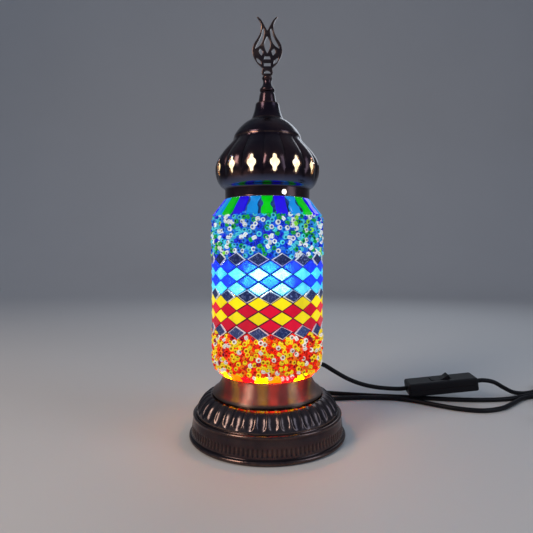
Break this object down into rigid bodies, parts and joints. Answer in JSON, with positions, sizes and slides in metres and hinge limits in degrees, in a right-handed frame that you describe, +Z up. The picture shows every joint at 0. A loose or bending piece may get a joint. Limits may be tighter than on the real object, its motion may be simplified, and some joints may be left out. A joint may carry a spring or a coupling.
{
  "type": "mosaic glass table lamp",
  "caption": "Table lamp: bronze base and pierced domed cap on a glass jar covered in mosaic tiles and beads, with a switched lead.",
  "frame": {"origin": "middle of the base's underside, on the surface that the lamp stands on", "axes": "+Z up along the lamp's axis; -Y is the front; the lead lies to +X"},
  "size_m": [0.4401, 0.2233, 0.377],
  "materials": {
    "bronze": "dark antique bronze, polished on the raised edges",
    "steel": "zinc plated",
    "felt": "pressed felt",
    "holder_plastic": "moulded, satin",
    "ceramic": "glazed ceramic, off-white",
    "brass": "bright stamped brass",
    "frosted_glass": "frosted",
    "clear_glass": "clear blown glass",
    "mosaic_blue_glass": "cut coloured glass in dark grout",
    "mosaic_cool_beads": "seed beads in grout, green, blue and clear",
    "mosaic_red_glass": "cut coloured glass in dark grout",
    "mosaic_warm_beads": "seed beads in grout, yellow, red and clear",
    "mosaic_amber_glass": "cut coloured glass in dark grout",
    "black_plastic": "moulded, slightly textured",
    "black_rubber": "smooth flexible sheath",
    "tie_fabric": "woven hook-and-loop tape"
  },
  "bodies": {
    "lamp_base": {"base_reeded_band": "bronze", "base_petal_shoulder": "bronze", "glass_cup": "bronze", "base_bottom_plate": "steel", "threaded_tube": "steel", "deck_lock_nut": "steel", "cup_lock_nut": "steel", "switch_screw_1": "steel", "switch_screw_2": "steel", "felt_pad": "felt", "lampholder_base": "holder_plastic", "lampholder_body": "holder_plastic", "lampholder_insulator": "ceramic", "lampholder_contact": "brass", "lampholder_screw_shell": "brass", "switch_terminal_1": "brass", "switch_terminal_2": "brass", "plug_pin_1": "brass", "plug_pin_2": "brass", "switch_lower_shell": "black_plastic", "switch_upper_shell": "black_plastic", "plug_body": "black_plastic", "strain_relief": "black_rubber", "inner_lead": "black_rubber", "cord_lead": "black_rubber", "cord_run": "black_rubber", "cord_coil": "black_rubber", "cord_tail": "black_rubber", "cord_tie": "tie_fabric"},
    "jar": {"glass_jar": "clear_glass", "mosaic_top_strips": "mosaic_blue_glass", "mosaic_upper_beads": "mosaic_cool_beads", "mosaic_blue_diamonds": "mosaic_blue_glass", "mosaic_red_diamonds": "mosaic_red_glass", "mosaic_lower_beads": "mosaic_warm_beads", "mosaic_bottom_strips": "mosaic_amber_glass"},
    "cap": {"cap_collar": "bronze", "cap_pierced_dome": "bronze", "cap_upper_dome": "bronze", "cap_spire_cone": "bronze", "cap_spindle": "bronze"},
    "finial": {"finial_tulip": "bronze"},
    "bulb": {"bulb_cap": "brass", "bulb_glass": "frosted_glass"},
    "rocker": {"switch_rocker": "black_plastic"}
  },
  "joints": [
    {"name": "jar_lift", "type": "slide", "parent": "lamp_base", "child": "jar", "axis": [0, 0, 1], "range_m": [0, 0.13]},
    {"name": "cap_lift", "type": "slide", "parent": "jar", "child": "cap", "axis": [0, 0, 1], "range_m": [0, 0.04]},
    {"name": "finial_turn", "type": "hinge", "parent": "cap", "child": "finial", "pos_m": [0, 0, 0.325], "axis": [0, 0, 1], "continuous": true},
    {"name": "bulb_turn", "type": "hinge", "parent": "lamp_base", "child": "bulb", "pos_m": [0, 0, 0.098], "axis": [0, 0, 1], "continuous": true},
    {"name": "rocker_tilt", "type": "hinge", "parent": "lamp_base", "child": "rocker", "pos_m": [0.19468, 0.09528, 0.02092], "axis": [0.0605, 0.9982, 0], "range_deg": [0, 24]}
  ]
}
